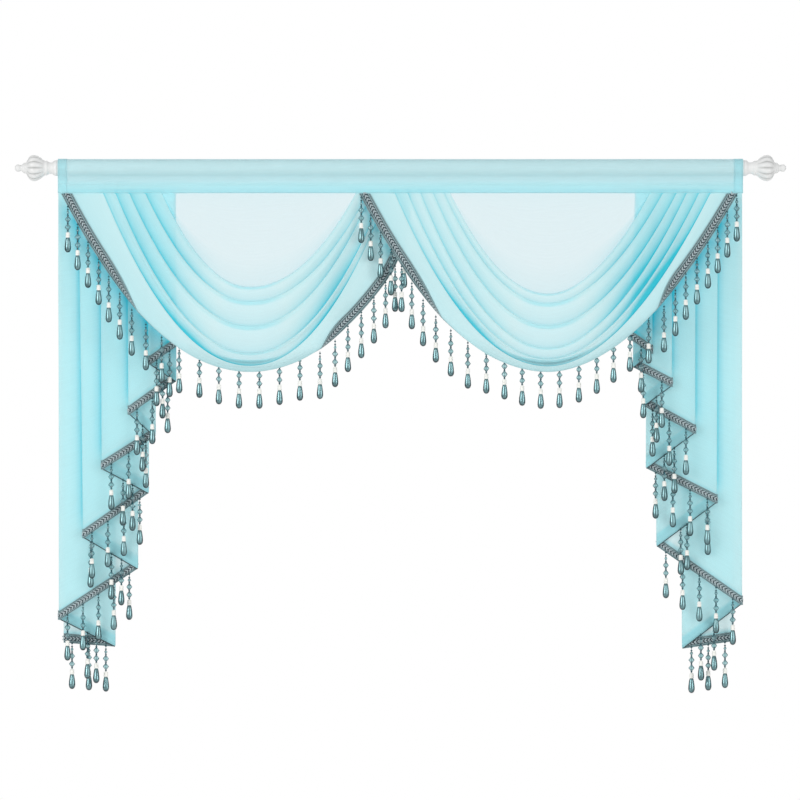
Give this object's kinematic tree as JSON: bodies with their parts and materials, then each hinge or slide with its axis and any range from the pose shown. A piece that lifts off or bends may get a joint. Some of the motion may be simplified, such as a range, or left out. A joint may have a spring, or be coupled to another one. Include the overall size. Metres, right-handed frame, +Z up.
{
  "type": "swag and tail drape on a curtain rod",
  "caption": "Sheer swag and tail valance on a straight rod with fluted finials: crossing pleated swags and cascading side tails, every free hem edged with braid and hanging bead drops.",
  "frame": {"origin": "on the rod's axis at mid-width, where the rod is held", "axes": "+X along the rod to the viewer's right, +Y back to the wall, +Z up"},
  "size_m": [1.689, 0.1344, 1.1738],
  "materials": {
    "rod": "white satin paint",
    "finial": "moulded resin, white satin paint",
    "voile": "sheer aqua voile, plain weave",
    "bead_trim": "woven slate braid with strung crystal, cream and pearl teal beads"
  },
  "bodies": {
    "root": {"rod": "rod", "finial_left": "finial", "finial_right": "finial", "heading": "voile", "swag_left": "voile", "swag_right": "voile", "tail_left": "voile", "tail_right": "voile", "trim_swag_left": "bead_trim", "trim_swag_right": "bead_trim", "trim_tail_left": "bead_trim", "trim_tail_right": "bead_trim"}
  },
  "joints": []
}
